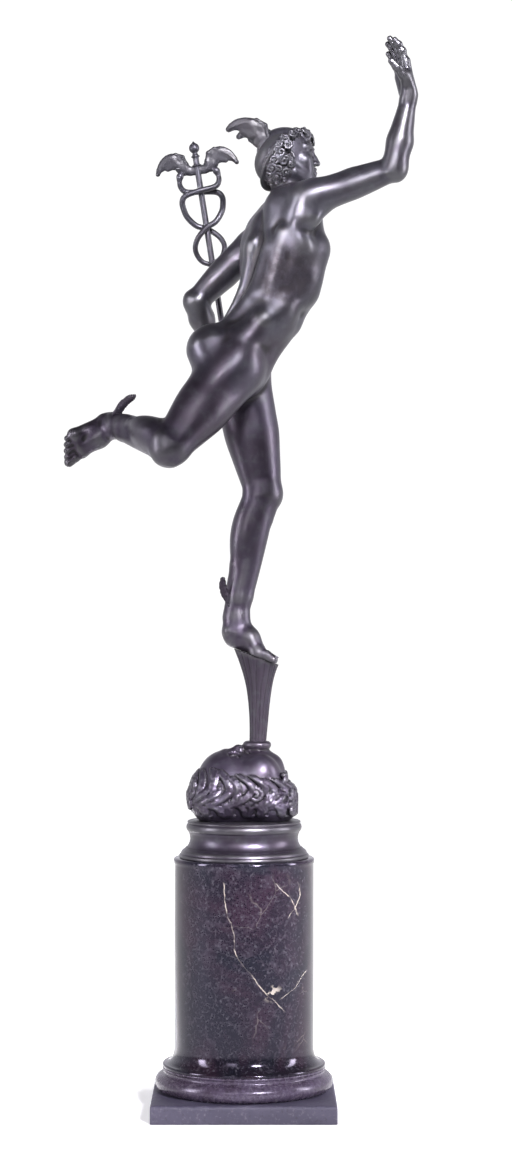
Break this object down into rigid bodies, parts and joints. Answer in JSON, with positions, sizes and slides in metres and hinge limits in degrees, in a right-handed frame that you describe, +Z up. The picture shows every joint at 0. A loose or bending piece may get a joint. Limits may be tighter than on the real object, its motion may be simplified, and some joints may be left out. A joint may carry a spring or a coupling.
{
  "type": "bronze messenger statuette on a column",
  "caption": "Balancing bronze messenger with winged hat, winged ankles and a serpent staff, on the breath of a wind's head, over a round marble column and square plinth.",
  "frame": {"origin": "middle of the square plinth's underside, on the column's axis", "axes": "+Z up along the column; +X the way that the figure faces, with its raised hand; +Y to the figure's left, the side of the staff"},
  "size_m": [0.2833, 0.1605, 0.8501],
  "materials": {
    "bronze": "dark brown-black patinated cast bronze, satin with soft highlights",
    "dark_marble": "polished dark green-black and red-brown marble with thin cream veins",
    "red_marble": "polished dark red-brown marble",
    "plinth_stone": "dull purple-grey stone with pale specks"
  },
  "bodies": {
    "root": {"square_plinth": "plinth_stone", "column_base": "red_marble", "marble_column": "dark_marble", "bronze_collar": "bronze", "wind_head": "bronze", "figure": "bronze", "caduceus": "bronze"}
  },
  "joints": []
}
